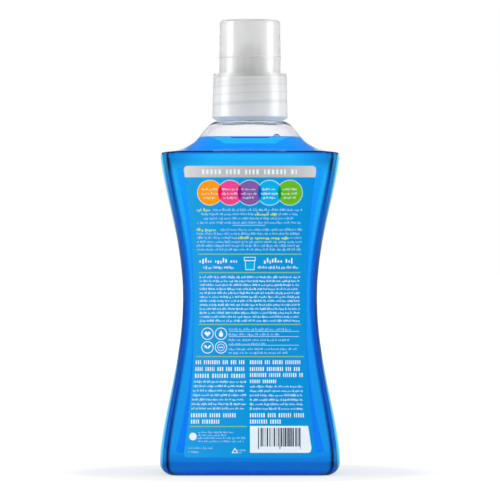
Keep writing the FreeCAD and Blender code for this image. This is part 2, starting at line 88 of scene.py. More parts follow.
# Studio: white sweep, two tall soft boxes well to the sides, one over the bottle
studio = {
    "floorSize": 40.0, "floorColour": (0.8, 0.8, 0.8, 1), "floorRoughness": 0.8,
    # how much of the shadow the camera sees
    "floorSeen": (0.25, 0.25, 0.25, 1),
    # the floor's own light: its levels by distance, a shade painted into it from ambient occlusion close to things,
    # and a shadow painted round the foot by distance
    "nearGlow": 0.8, "farGlow": 0.95, "nearReach": 0.1, "farReach": 1.8,
    "shadeReach": 0.16, "shadeFloor": 0.8,
    "contactFrom": 0.095, "contactTo": 0.135, "contact": 0.82,
    # the even fill, and the dim room in front of the bottle
    "worldFill": 0.68, "roomReflected": 0.2,
    # where the sweep's white starts and is full: as seen, as reflected, on the floor, on the floor behind
    "sweepFrom": 0.5, "sweepTo": 0.92, "glintFrom": 0.93, "glintTo": 1.0,
    "floorFrom": -0.6, "floorTo": -0.3, "behindFrom": 0.0, "behindTo": 0.25, "floorBehind": 0.4,
    "sideBox": {"size": (0.6, 1.1), "at": (1.1, -0.14, 0.45), "aim": 0.15, "power": 10.5},
    "topBox": {"size": (0.9, 0.9), "at": (0.0, -0.35, 1.3), "aim": 0.1, "power": 3.0},
}


# The clear pieces are lit by the white sweep alone, so that no lamp shows in them
lampSkips = bpy.data.collections.new("lampSkips")


def skipLamps(piece):
    lampSkips.objects.link(piece)
    lampSkips.collection_objects[-1].light_linking.link_state = "EXCLUDE"


def softBox(name, at, box):
    deselectAll()
    bpy.ops.object.light_add(type="AREA", location=at)
    lamp = bpy.context.object
    lamp.name = name
    lamp.data.shape = "RECTANGLE"
    lamp.data.size, lamp.data.size_y = box["size"]
    lamp.data.energy = box["power"]
    lamp.light_linking.receiver_collection = lampSkips
    lamp.rotation_euler = (Vector((0, 0, box["aim"])) - Vector(at)).to_track_quat("-Z", "Y").to_euler()


def anyRay(tree, names):
    # 1 for a ray of any of the named kinds
    rays = tree.nodes.new("ShaderNodeLightPath")
    found = rays.outputs[names[0]]
    for name in names[1:]:
        either = tree.nodes.new("ShaderNodeMath")
        either.operation = "MAXIMUM"
        tree.links.new(found, either.inputs[0])
        tree.links.new(rays.outputs[name], either.inputs[1])
        found = either.outputs[0]
    return found


def grey(level):
    return (level, level, level, 1)


def layered(tree, kinds, first, second):
    # the second shader for rays of those kinds, the first for the rest
    mix = tree.nodes.new("ShaderNodeMixShader")
    tree.links.new(anyRay(tree, kinds), mix.inputs[0])
    tree.links.new(first, mix.inputs[1])
    tree.links.new(second, mix.inputs[2])
    return mix.outputs[0]


def evenRange(tree, value, start, end, low, high, easing="LINEAR"):
    # carries a value from one range to another
    ease = tree.nodes.new("ShaderNodeMapRange")
    ease.interpolation_type = easing
    for socket, number in (("From Min", start), ("From Max", end), ("To Min", low), ("To Max", high)):
        ease.inputs[socket].default_value = number
    tree.links.new(value, ease.inputs["Value"])
    return ease.outputs["Result"]


def softRange(tree, value, start, end, low, high):
    # eases from one level to another as the value passes through the range
    return evenRange(tree, value, start, end, low, high, "SMOOTHSTEP")


def product(tree, first, second):
    times = tree.nodes.new("ShaderNodeMath")
    times.operation = "MULTIPLY"
    tree.links.new(first, times.inputs[0])
    tree.links.new(second, times.inputs[1])
    return times.outputs[0]


def ownAxes(tree):
    # a piece's own coordinates, one socket for each axis
    place = tree.nodes.new("ShaderNodeTexCoord")
    split = tree.nodes.new("ShaderNodeSeparateXYZ")
    tree.links.new(place.outputs["Object"], split.inputs[0])
    return split.outputs


def makeStudio():
    world = bpy.data.worlds.new("studioWorld")
    bpy.context.scene.world = world
    world.use_nodes = True
    tree = world.node_tree
    tree.nodes.clear()
    fill, seen, reflected = [tree.nodes.new("ShaderNodeBackground") for kind in range(3)]
    for sky in (fill, seen, reflected):
        sky.inputs["Color"].default_value = grey(1)
    fill.inputs["Strength"].default_value = studio["worldFill"]
    # white sweep behind the bottle, the dim room in front of it
    place = tree.nodes.new("ShaderNodeTexCoord")
    split = tree.nodes.new("ShaderNodeSeparateXYZ")
    tree.links.new(place.outputs["Generated"], split.inputs[0])
    for sky, start, end in ((seen, "sweepFrom", "sweepTo"), (reflected, "glintFrom", "glintTo")):
        sweep = softRange(tree, split.outputs["Y"], studio[start], studio[end], studio["roomReflected"], 1.0)
        tree.links.new(sweep, sky.inputs["Strength"])
    lit = layered(tree, ["Is Glossy Ray"], fill.outputs[0], reflected.outputs[0])
    every = layered(tree, ["Is Camera Ray", "Is Transmission Ray"], lit, seen.outputs[0])
    tree.links.new(every, tree.nodes.new("ShaderNodeOutputWorld").inputs["Surface"])
    side = studio["sideBox"]
    x, y, z = side["at"]
    softBox("leftSoftBox", (-x, y, z), side)
    softBox("rightSoftBox", (x, y, z), side)
    softBox("topSoftBox", studio["topBox"]["at"], studio["topBox"])


def makeFloor():
    deselectAll()
    bpy.ops.mesh.primitive_plane_add(size=studio["floorSize"], location=(0, 0, 0))
    floor = bpy.context.object
    floor.name = "studioFloor"
    material = bpy.data.materials.new("whiteFloor")
    material.use_nodes = True
    tree = material.node_tree
    plain = tree.nodes["Principled BSDF"]
    plain.inputs["Base Color"].default_value = studio["floorColour"]
    plain.inputs["Roughness"].default_value = studio["floorRoughness"]
    room = studio["roomReflected"]
    place = tree.nodes.new("ShaderNodeTexCoord")
    away = tree.nodes.new("ShaderNodeVectorMath")
    away.operation = "LENGTH"
    tree.links.new(place.outputs["Object"], away.inputs[0])
    distance, depth = away.outputs["Value"], ownAxes(tree)["Y"]
    glow = evenRange(tree, distance, studio["nearReach"], studio["farReach"],
                     studio["nearGlow"], studio["farGlow"])
    level = product(tree, glow, softRange(tree, depth, studio["floorFrom"], studio["floorTo"], room, 1.0))
    # a soft shade close round the foot, painted into the floor's glow from ambient occlusion
    nearby = tree.nodes.new("ShaderNodeAmbientOcclusion")
    nearby.inputs["Distance"].default_value = studio["shadeReach"]
    level = product(tree, level, evenRange(tree, nearby.outputs["AO"], 0.0, 1.0, studio["shadeFloor"], 1.0))
    # a shadow painted into the floor's glow in a ring round the foot, by distance from the middle
    contact = softRange(tree, distance, studio["contactFrom"], studio["contactTo"], studio["contact"], 1.0)
    matt = tree.nodes.new("ShaderNodeBsdfDiffuse")
    matt.inputs["Color"].default_value = studio["floorSeen"]
    lift = tree.nodes.new("ShaderNodeEmission")
    tree.links.new(product(tree, level, contact), lift.inputs["Strength"])
    seen = tree.nodes.new("ShaderNodeAddShader")
    tree.links.new(matt.outputs[0], seen.inputs[0])
    tree.links.new(lift.outputs[0], seen.inputs[1])
    behind = softRange(tree, depth, studio["behindFrom"], studio["behindTo"], room, studio["floorBehind"])
    reflected = tree.nodes.new("ShaderNodeEmission")
    tree.links.new(behind, reflected.inputs["Strength"])
    lit = layered(tree, ["Is Glossy Ray"], plain.outputs[0], reflected.outputs[0])
    every = layered(tree, ["Is Camera Ray", "Is Transmission Ray"], lit, seen.outputs[0])
    tree.links.new(every, tree.nodes["Material Output"].inputs["Surface"])
    floor.data.materials.append(material)


# Finishes: each one starts from a plain shader and gets its own grain from Object coordinates
grains = {
    "blown": {"scale": 28, "detail": 1, "roughness": 0.01, "bump": 0.06, "height": 0.001},
    "frost": {"scale": 900, "detail": 3, "roughness": 0.03, "bump": 0.05, "height": 0.0001},
    "ink": {"scale": 1400, "detail": 2, "roughness": 0.05, "bump": 0.03, "height": 0.0001},
}


def newFinish(name, roughness, grain, tint=grey(1)):
    material = bpy.data.materials.new(name)
    material.use_nodes = True
    tree = material.node_tree
    shader = tree.nodes["Principled BSDF"]
    shader.inputs["Base Color"].default_value = tint
    place = tree.nodes.new("ShaderNodeTexCoord")
    noise = tree.nodes.new("ShaderNodeTexNoise")
    noise.inputs["Scale"].default_value = grain["scale"]
    noise.inputs["Detail"].default_value = grain["detail"]
    tree.links.new(place.outputs["Object"], noise.inputs["Vector"])
    smooth, rough = roughness - grain["roughness"], roughness + grain["roughness"]
    tree.links.new(evenRange(tree, noise.outputs["Fac"], 0.0, 1.0, smooth, rough), shader.inputs["Roughness"])
    bump = tree.nodes.new("ShaderNodeBump")
    bump.inputs["Strength"].default_value = grain["bump"]
    bump.inputs["Distance"].default_value = grain["height"]
    tree.links.new(noise.outputs["Fac"], bump.inputs["Height"])
    tree.links.new(bump.outputs["Normal"], shader.inputs["Normal"])
    return material, shader


# The clear pieces' refraction and gloss
clear = {"roughness": 0.02, "plastic": 1.36, "bubble": 1.22, "filledGlint": 0.3}


def clearFinish(name, ior):
    material, shader = newFinish(name, clear["roughness"], grains["blown"])
    shader.inputs["IOR"].default_value = ior
    shader.inputs["Transmission Weight"].default_value = 1
    # light goes straight through to what lies behind
    tree = material.node_tree
    through = tree.nodes.new("ShaderNodeBsdfTransparent")
    both = layered(tree, ["Is Shadow Ray", "Is Diffuse Ray"], shader.outputs[0], through.outputs[0])
    tree.links.new(both, tree.nodes["Material Output"].inputs["Surface"])
    return material


def tintByAttribute(material, attribute):
    tree = material.node_tree
    tint = tree.nodes.new("ShaderNodeAttribute")
    tint.attribute_name = attribute
    tree.links.new(tint.outputs["Color"], tree.nodes["Principled BSDF"].inputs["Base Color"])


def absorbingFinish(name, colour, density):
    # a clear filling with no skin of its own
    material = bpy.data.materials.new(name)
    material.use_nodes = True
    tree = material.node_tree
    tree.nodes.clear()
    absorb = tree.nodes.new("ShaderNodeVolumeAbsorption")
    absorb.inputs["Color"].default_value = colour
    absorb.inputs["Density"].default_value = density
    out = tree.nodes.new("ShaderNodeOutputMaterial")
    tree.links.new(absorb.outputs[0], out.inputs["Volume"])
    return material


# How much light the two frosted mouldings let through, and how rough their skins are
frost = {
    "ior": 1.45,
    "cap": {"through": 0.68, "roughness": 0.16},
    "collar": {"through": 0.5, "roughness": 0.2},
}


def frostedFinish(name, kind):
    material, shader = newFinish(name, frost[kind]["roughness"], grains["frost"])
    shader.inputs["IOR"].default_value = frost["ior"]
    shader.inputs["Transmission Weight"].default_value = frost[kind]["through"]
    return material


def rampTint(material, value, start, end, stops):
    # colours a finish by a ramp over a range of the value
    tree = material.node_tree
    share = evenRange(tree, value, start, end, 0.0, 1.0)
    ramp = tree.nodes.new("ShaderNodeValToRGB")
    marks = ramp.color_ramp.elements
    for where, colour in stops[1:-1]:
        marks.new(where)
    for mark, (where, colour) in zip(marks, stops):
        mark.color = colour
    tree.links.new(share, ramp.inputs["Fac"])
    tree.links.new(ramp.outputs["Color"], tree.nodes["Principled BSDF"].inputs["Base Color"])


# Bands of painted shade on the collar: its foot and top in metres, then each band's place between them and its
# lightness
collarBands = {
    "low": 0.2231, "high": 0.2528, "lean": 0.045,
    "marks": (
        (0.0, 0.97), (0.33, 1.0), (0.38, 0.86), (0.41, 0.88), (0.45, 1.0), (0.57, 1.0), (0.59, 0.86), (0.61, 1.0),
        (0.72, 0.99), (0.77, 0.88), (0.81, 0.99), (0.86, 0.9), (0.91, 0.99), (0.95, 0.9), (1.0, 0.96),
    ),
}


def bandedFinish(name, kind):
    # faint darker bands painted up the collar, a painted shade where the neck and its thread lie behind the frost
    material = frostedFinish(name, kind)
    tree = material.node_tree
    axes = ownAxes(tree)
    slanted = tree.nodes.new("ShaderNodeMath")
    slanted.operation = "MULTIPLY_ADD"
    slanted.inputs[1].default_value = -collarBands["lean"]
    tree.links.new(axes["X"], slanted.inputs[0])
    tree.links.new(axes["Z"], slanted.inputs[2])
    stops = [(where, grey(level)) for where, level in collarBands["marks"]]
    rampTint(material, slanted.outputs[0], collarBands["low"], collarBands["high"], stops)
    return material


def srgb(red, green, blue):
    def linear(value):
        value /= 255
        return value / 12.92 if value <= 0.04045 else ((value + 0.055) / 1.055) ** 2.4
    return linear(red), linear(green), linear(blue), 1


def inkFinish(name, colour, roughness=0.35, glint=0.07):
    material, shader = newFinish(name, roughness, grains["ink"], colour)
    shader.inputs["Specular IOR Level"].default_value = glint
    return material


# Two inks with a painted sheen across the label from its left to its right, over this reach from the middle: the
# silver lighter at both ends, the blue lighter at the left
paintedInkSheen = {
    "reach": 0.0425,
    "silver": (
        (0.0, (222, 222, 223)), (0.13, (205, 205, 206)), (0.3, (192, 192, 193)), (0.5, (184, 184, 185)),
        (0.72, (186, 186, 187)), (0.9, (200, 200, 201)), (1.0, (214, 214, 215)),
    ),
    "blue": (
        (0.0, (32, 160, 228)), (0.2, (24, 155, 226)), (0.5, (2, 150, 218)), (0.8, (4, 148, 217)),
        (1.0, (0, 143, 222)),
    ),
}


# an ink whose colour carries a painted sheen across the label
def sheenPaintedInk(name, stops):
    material = inkFinish(name, grey(1))
    reach = paintedInkSheen["reach"]
    colours = [(where, srgb(*colour)) for where, colour in stops]
    rampTint(material, ownAxes(material.node_tree)["X"], -reach, reach, colours)
    return material


# Blown form, in millimetres: flat front and back, bowed sides, rounded corners
form = {
    "wideHalf": 57.2, "waistHalf": 42.5, "halfDepth": 40.8,
    "footTop": 14.5, "waistAt": 111.7, "rimAt": 203.1,
    "footRound": 7.0, "rimRound": 2.7, "corner": 5.0,
    "bulgeWide": 3.5, "bulgeWaist": 1.0, "flare": 1.6, "rimTurn": 18.0, "rimSteps": 4,
    "shoulderTop": 223.0, "neckFoot": 22.6, "neckCorner": 0.97, "neckBulge": 0.05, "wall": 0.6,
    "recessInset": 11.0, "recessSlope": 7.0, "recessHeight": 5.0, "recessCorner": 9.0,
    "flatSteps": 8, "cornerSteps": 8, "sideSteps": 8, "waistSteps": 56, "roundSteps": 8, "shoulderSteps": 5,
}
# Shoulder levels as shares of the way from the rim to the neck: height, width, depth, corner, bow
shoulderLevels = [
    (0.06, 0.24, 0.19, 0.52, 0.85),
    (0.15, 0.41, 0.33, 0.72, 0.65),
    (0.33, 0.60, 0.52, 0.86, 0.45),
    (0.52, 0.71, 0.67, 0.92, 0.35),
    (0.71, 0.80, 0.80, 0.95, 0.30),
    (0.89, 0.90, 0.91, 0.98, 0.20),
    (1.00, 1.00, 1.00, 1.00, 0.00),
]


def sectionRing(height, halfWidth, halfDepth, bulge, corner):
    # one level of the form, as points in metres, from the middle of the near panel
    sideRadius = (halfDepth ** 2 + bulge ** 2) / (2 * bulge)
    sideCentre = halfWidth - sideRadius
    cornerY = halfDepth - corner
    cornerX = sideCentre + math.sqrt((sideRadius - corner) ** 2 - cornerY ** 2)
    lean = math.atan2(cornerY, cornerX - sideCentre)
    quarter = [(cornerX * step / form["flatSteps"], -halfDepth) for step in range(form["flatSteps"])]
    for step in range(form["cornerSteps"]):
        angle = -math.pi / 2 + (math.pi / 2 - lean) * step / form["cornerSteps"]
        quarter.append((cornerX + corner * math.cos(angle), -cornerY + corner * math.sin(angle)))
    for step in range(form["sideSteps"]):
        angle = -lean * (1 - step / form["sideSteps"])
        quarter.append((sideCentre + sideRadius * math.cos(angle), sideRadius * math.sin(angle)))
    half = quarter + [(halfWidth, 0)] + [(x, -y) for x, y in reversed(quarter)]
    ring = half + [(-x, y) for x, y in reversed(half[1:-1])]
    return [(x * mm, y * mm, height * mm) for x, y in ring]


def bodyLevel(height, inset, extra=0.0):
    topOfFlare = form["rimAt"] - form["rimRound"]
    share = 1.0
    if height > form["footTop"]:
        end = topOfFlare if height > form["waistAt"] else form["footTop"]
        along = (height - form["waistAt"]) / (end - form["waistAt"])
        share = form["flare"] * along ** 2 - (form["flare"] - 1) * along ** 4
    halfWidth = form["waistHalf"] + share * (form["wideHalf"] - form["waistHalf"])
    bulge = form["bulgeWaist"] + share * (form["bulgeWide"] - form["bulgeWaist"])
    sideRadius = (form["halfDepth"] ** 2 + bulge ** 2) / (2 * bulge) - inset - extra
    halfDepth = form["halfDepth"] - inset - extra
    return (height, halfWidth - inset - extra, halfDepth,
            sideRadius - math.sqrt(sideRadius ** 2 - halfDepth ** 2), form["corner"] - inset)


def shrunk(ring, share, height):
    return [(x * share, y * share, height * mm) for x, y, z in ring]


def recessRings(inset, lowest):
    # from the middle of the recessed base out to the foot, at a depth below the skin
    rings = []
    for step in range(form["roundSteps"], -1, -1):
        share = step / form["roundSteps"]
        ease = (1 - math.cos(math.pi * share)) / 2
        drawn = form["recessInset"] + form["recessSlope"] * share - inset
        height = max((form["recessHeight"] + 2 * inset) * ease - inset, lowest)
        level = bodyLevel(form["footTop"], drawn)
        rings.append(sectionRing(height, level[1], level[2], level[3], form["recessCorner"] + inset))
    top = form["recessHeight"] + inset
    middle = [shrunk(rings[0], share, top) for share in (0.0, 0.25, 0.5, 0.75)]
    return middle + rings


def footRings(inset):
    radius = form["footRound"] - inset
    rings = []
    for step in range(form["roundSteps"] + 1):
        angle = math.pi / 2 * step / form["roundSteps"]
        level = bodyLevel(0, inset, radius * (1 - math.sin(angle)))
        rings.append(sectionRing(inset + radius * (1 - math.cos(angle)), *level[1:]))
    return rings


def waistRings(inset):
    low = form["footRound"]
    high = form["rimAt"] - form["rimRound"]
    return [sectionRing(*bodyLevel(low + (high - low) * step / form["waistSteps"], inset))
            for step in range(1, form["waistSteps"] + 1)]


def shoulderLevelsAt(inset):
    # the rounded rim and the hollow-curved shoulder as smooth levels up to the neck
    start = form["rimAt"] - form["rimRound"]
    rise = form["shoulderTop"] - form["rimAt"]
    neck = form["neckFoot"]
    radius = form["rimRound"] - inset
    levels = []
    for step in range(1, form["rimSteps"] + 1):
        angle = math.radians(form["rimTurn"] * step)
        level = bodyLevel(start, inset, radius * (1 - math.cos(angle)))
        levels.append((start + radius * math.sin(angle),) + level[1:])
    rimEnd = math.radians(form["rimTurn"] * form["rimSteps"])
    rim = bodyLevel(start, 0.0, form["rimRound"] * (1 - math.cos(rimEnd)))[1:]
    table = [(0.0, 0.0, 0.0, 0.0, 1.0)] + shoulderLevels
    for index in range(1, len(table)):
        up, width, depth, corner, bow = table[index]
        before = table[index - 1]
        after = table[min(index + 1, len(table) - 1)]
        run = (after[1] - before[1]) * (rim[0] - neck)
        climb = (after[0] - before[0]) * rise
        slant = math.hypot(run, climb)
        inward, down = inset * climb / slant, inset * run / slant
        if index == len(table) - 1:
            inward, down = inset, inset
        levels.append((form["rimAt"] + rise * up - down,
                       rim[0] + (neck - rim[0]) * width - inward,
                       rim[1] + (neck - rim[1]) * depth - inward,
                       form["neckBulge"] + (rim[2] - form["neckBulge"]) * bow,
                       rim[3] + (neck * form["neckCorner"] - rim[3]) * corner - inward))
    smooth = levels[:3]
    for index in range(2, len(levels) - 1):
        a, b, c = levels[index - 1], levels[index], levels[index + 1]
        d = levels[min(index + 2, len(levels) - 1)]
        for step in range(1, form["shoulderSteps"] + 1):
            t = step / form["shoulderSteps"]
            smooth.append(tuple(
                0.5 * (2 * q + (r - p) * t + (2 * p - 5 * q + 4 * r - s) * t * t + (3 * q - p - 3 * r + s) * t ** 3)
                for p, q, r, s in zip(a, b, c, d)))
    return smooth


def roundRing(directions, radius, height):
    return [(x * radius * mm, y * radius * mm, height * mm) for x, y in directions]


def wrapRings(name, rings, bands=None, paintedShades=None):
    # a flat grid bent round the axis level by level, then stitched at its seam
    around = len(rings[0])
    deselectAll()
    bpy.ops.mesh.primitive_grid_add(x_subdivisions=around, y_subdivisions=len(rings) - 1, size=1)
    piece = bpy.context.object
    piece.name = name
    points = piece.data.vertices
    for level, ring in enumerate(rings):
        for step in range(around + 1):
            points[level * (around + 1) + step].co = ring[step % around]
    if bands:
        for index, face in enumerate(piece.data.polygons):
            face.material_index = bands[index // around][index % around]
    # painted shade and tint for every point, carried to the shell's finish as a colour attribute
    if paintedShades:
        layer = piece.data.color_attributes.new(name="paintedEdgeTint", type="FLOAT_COLOR", domain="POINT")
        for level, row in enumerate(paintedShades):
            for step in range(around + 1):
                clearness, shade = row[step % around]
                colour = [clearness ** power * shade for power in paintedTurnShade["powers"]]
                layer.data[level * (around + 1) + step].color = (*colour, 1)
    bpy.ops.object.mode_set(mode="EDIT")
    bpy.ops.mesh.select_all(action="SELECT")
    bpy.ops.mesh.remove_doubles(threshold=0.000001)
    bpy.ops.mesh.normals_make_consistent(inside=False)
    bpy.ops.object.mode_set(mode="OBJECT")
    return piece


# Neck with its bead and thread ridge, in millimetres
neck = {
    "radius": 20.0, "wall": 1.9, "top": 240.9, "bead": 22.2, "beadLow": 227.0, "beadTop": 228.4, "edge": 0.3,
    "threadDepth": 1.3, "threadPitch": 6.0, "threadStart": 230.8, "threadTurns": 1.25, "threadSteps": 60,
    "threadSunk": 0.3, "threadFoot": 2.08, "threadCrest": 0.78,
}

# The liquid: its level, its gap to the wall and the curl where it wets the wall, as pairs of reach and rise
liquid = {
    "level": 212.4, "gap": 0.02, "creep": 0.4, "top": 0.01, "lap": 1.002,
    "curl": ((0.985, 0.45), (0.965, 0.2), (0.93, 0.05), (0.88, 0.0), (0.5, 0.0), (0.0, 0.0)),
    "ior": 1.37, "colour": (0.0, 0.82, 0.99, 1), "density": 56.0,
}


# Shade and tint painted on the clear form where it turns away, standing in for shade seen through it: dark lines at
# the corners, rim and heel, darker under the rim and towards the foot. As pairs of clearness and shade: on the panel
# close under the rim, from its middle out, and round the corner where it is wide and at the waist
paintedTurnShade = {
    "underRim": ((1.0, 1.0),) * 5 + ((0.91, 1.0), (0.8, 1.0), (0.68, 1.0), (0.54, 1.0)),
    "underRimFrom": 190.0, "underRimTo": 200.0,
    "panelFrom": 75.0, "panelTo": 185.0, "panel": 0.86,
    "wide": (
        (0.85, 0.4), (0.7, 0.01), (0.7, 0.02), (0.85, 0.4), (0.9, 0.8), (0.85, 0.5), (0.75, 0.1), (0.9, 0.5),
    ),
    "waist": (
        (0.8, 0.8), (0.78, 0.5), (0.76, 0.4), (0.76, 0.3), (0.72, 0.15), (0.65, 0.05), (0.6, 0.01), (0.6, 0.01),
    ),
    "wideSide": (1.0, 1.0), "waistSide": (0.9, 0.7), "sideIor": 1.001,
    "rimFrom": 202.2, "rimTo": 203.5, "rim": (0.4, 0.0),
    "footFrom": 15.0, "foot": 0.66, "heelTop": 4.6, "heel": 0.0,
    # powers of the clearness that red, green and blue follow
    "powers": (4, 2.6, 0.9),
}


def between(first, second, share):
    share = min(max(share, 0.0), 1.0)
    return tuple(p + (q - p) * share for p, q in zip(first, second))


def paintEdgeShades(ring):
    # painted clearness and shade for every point of one level
    around = len(ring)
    height = ring[0][2] / mm
    reach = max(point[0] for point in ring) / mm
    wide = (reach - form["waistHalf"]) / (form["wideHalf"] - form["waistHalf"])
    down = (paintedTurnShade["panelTo"] - height) / (paintedTurnShade["panelTo"] - paintedTurnShade["panelFrom"])
    panel = between((1.0, 1.0), (paintedTurnShade["panel"], 1.0), down)
    near = (height - paintedTurnShade["underRimFrom"]) / (paintedTurnShade["underRimTo"] - paintedTurnShade["underRimFrom"])
    paintedShades = []
    for step in range(around):
        place = min(step % (around // 2), around // 2 - step % (around // 2))
        corner = place - form["flatSteps"] - 1
        if height > paintedTurnShade["rimTo"]:
            paintedShades.append((1.0, 1.0))
            continue
        if corner < 0:
            clearness, shade = between(panel, paintedTurnShade["underRim"][place], near) if ring[step][1] < 0 else panel
        elif corner < len(paintedTurnShade["wide"]):
            clearness, shade = between(paintedTurnShade["waist"][corner], paintedTurnShade["wide"][corner], wide)
        else:
            clearness, shade = between(paintedTurnShade["waistSide"], paintedTurnShade["wideSide"], wide)
        if height > paintedTurnShade["rimFrom"]:
            clearness, shade = paintedTurnShade["rim"]
        if height < paintedTurnShade["footFrom"]:
            clearness *= paintedTurnShade["foot"] + (1 - paintedTurnShade["foot"]) * height / paintedTurnShade["footFrom"]
        if height < paintedTurnShade["heelTop"]:
            shade *= paintedTurnShade["heel"] + (1 - paintedTurnShade["heel"]) * height / paintedTurnShade["heelTop"]
        paintedShades.append((clearness, shade))
    return paintedShades


def makeShell(materials):
    outer = recessRings(0.0, 0.0) + footRings(0.0) + waistRings(0.0)
    outer += [sectionRing(*level) for level in shoulderLevelsAt(0.0)]
    directions = [Vector((x, y)).normalized() for x, y, z in outer[-1]]
    edge = neck["edge"]
    for radius, height in (
        (neck["radius"] + edge, form["shoulderTop"]),
        (neck["radius"], form["shoulderTop"] + edge),
        (neck["radius"], neck["beadLow"] - edge),
        (neck["radius"] + edge, neck["beadLow"]),
        (neck["bead"] - edge, neck["beadLow"]),
        (neck["bead"], neck["beadLow"] + edge),
        (neck["bead"], neck["beadTop"] - edge),
        (neck["bead"] - edge, neck["beadTop"]),
        (neck["radius"] + edge, neck["beadTop"]),
        (neck["radius"], neck["beadTop"] + edge),
        (neck["radius"], neck["top"] - edge),
        (neck["radius"] - edge, neck["top"]),
        (neck["radius"] - neck["wall"] + edge, neck["top"]),
        (neck["radius"] - neck["wall"], neck["top"] - edge),
        (neck["radius"] - neck["wall"], form["shoulderTop"] - form["wall"] + edge),
        (neck["radius"] - neck["wall"] + edge, form["shoulderTop"] - form["wall"]),
    ):
        outer.append(roundRing(directions, radius, height))
    wall = form["wall"]
    inner = recessRings(wall, wall) + footRings(wall) + waistRings(wall)
    inner += [sectionRing(*level) for level in shoulderLevelsAt(wall)]
    rings = outer + inner[::-1]
    contact = (liquid["level"] + liquid["creep"]) * mm
    # slots: dry plastic, outer skin with liquid behind it, inner skin with liquid on it, bowed side
    around = len(outer[0])
    sideStart = form["flatSteps"] + form["cornerSteps"]
    sides = [3 if sideStart <= step % (around // 2) < around // 2 - sideStart else 1 for step in range(around)]
    bands = []
    for index, ring in enumerate(rings[:-1]):
        if ring[0][2] > contact:
            bands.append([0] * around)
        elif index < len(outer):
            bands.append(sides)
        else:
            bands.append([2] * around)
    shell = wrapRings("clearShell", rings, bands, [paintEdgeShades(ring) for ring in rings])
    settle(shell, "clearShell", bottleBody, materials)
    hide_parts("bottle")
    skipLamps(shell)


def makeNeckThread(material):
    # a ridge that climbs round the neck; a narrow tip closes each end
    sunk = neck["radius"] - neck["threadSunk"]
    crest = neck["radius"] + neck["threadDepth"]
    wide, narrow = neck["threadFoot"], neck["threadCrest"]
    section = ((sunk, -wide), (crest, -narrow), (crest, narrow), (sunk, wide))
    rings = []
    for step in range(neck["threadSteps"] + 1):
        turns = neck["threadTurns"] * step / neck["threadSteps"]
        turn = 2 * math.pi * turns
        lift = neck["threadStart"] + neck["threadPitch"] * turns
        rings.append([(radius * math.cos(turn) * mm, radius * math.sin(turn) * mm, (lift + up) * mm)
                      for radius, up in section])
    tips = [[tuple(sum(point[axis] for point in ring) / len(ring) for axis in range(3))] * len(ring)
            for ring in (rings[0], rings[-1])]
    ridge = wrapRings("neckThread", [tips[0]] + rings + [tips[1]])
    settle(ridge, "neckThread", bottleBody, material)
    skipLamps(ridge)


def makeLiquid(filling, surface):
    inset = form["wall"] + liquid["gap"]
    rings = recessRings(inset, inset) + footRings(inset) + waistRings(inset)
    levels = shoulderLevelsAt(inset)
    contact = liquid["level"] + liquid["creep"]
    below = [level for level in levels if level[0] < contact]
    first, second = below[-1], levels[len(below)]
    share = (contact - first[0]) / (second[0] - first[0])
    rings += [sectionRing(*level) for level in below]
    top = sectionRing(*[p + (q - p) * share for p, q in zip(first, second)])
    rings.append(top)
    surfaceCurl = [(share, liquid["level"] + creep * liquid["creep"]) for share, creep in liquid["curl"]]
    rings += [shrunk(top, share, height) for share, height in surfaceCurl]
    body = wrapRings("blueDetergent", rings)
    settle(body, "blueDetergent", bottleBody, filling)
    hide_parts("detergent")
    skipLamps(body)
    # the liquid's open surface, curled up where it wets the wall
    surfaceCurl.insert(0, (liquid["lap"], contact))
    sheet = [shrunk(top, share, height + liquid["top"]) for share, height in surfaceCurl]
    skin = wrapRings("detergentSurface", sheet)
    if skin.data.polygons[0].normal.z < 0:
        skin.data.flip_normals()
    settle(skin, "detergentSurface", bottleBody, surface)
    skipLamps(skin)


# The one bubble that rides on the liquid
bubble = {"radius": 2.5, "flat": 0.9, "at": (16.8, -14.0), "around": 24, "rings": 12}


def makeBubble(material):
    deselectAll()
    x, y = bubble["at"]
    bpy.ops.mesh.primitive_uv_sphere_add(
        segments=bubble["around"], ring_count=bubble["rings"], radius=bubble["radius"] * mm,
        location=(x * mm, y * mm, liquid["level"] * mm), scale=(1, 1, bubble["flat"]))
    dome = settle(bpy.context.object, "surfaceBubble", bottleBody, material)
    skipLamps(dome)


# Printed films: their edges follow the waist; print is placed by its pixel in the photograph
film = {
    # glow is the strength of a light painted on the film's white backing
    "thickness": 0.06, "gap": 0.01, "layer": 0.012, "inkShare": 0.7, "glow": 0.2,
    "columns": 24, "rows": 72, "round": 3.0, "roundSteps": 8,
}
backSize = {"bottom": 11.7, "top": 194.1, "half": 41.8, "waistInset": 6.8}
frontSize = {"bottom": 11.7, "top": 194.1, "half": 47.5, "waistInset": 11.9}
labelScale = pixel * (camera["distance"] - form["halfDepth"] * mm) / camera["distance"]


def filmHalf(height, size=backSize):
    # half the film's width at a height, with its two round corners
    middle = (size["bottom"] + size["top"]) / 2
    chord = (size["top"] - size["bottom"]) / 2
    radius = (chord ** 2 + size["waistInset"] ** 2) / (2 * size["waistInset"])
    away = height - middle
    half = size["half"] - size["waistInset"] + radius - math.sqrt(radius ** 2 - away ** 2)
    left = film["round"] - min(height - size["bottom"], size["top"] - height)
    if left > 0:
        half -= film["round"] - math.sqrt(film["round"] ** 2 - left ** 2)
    return half


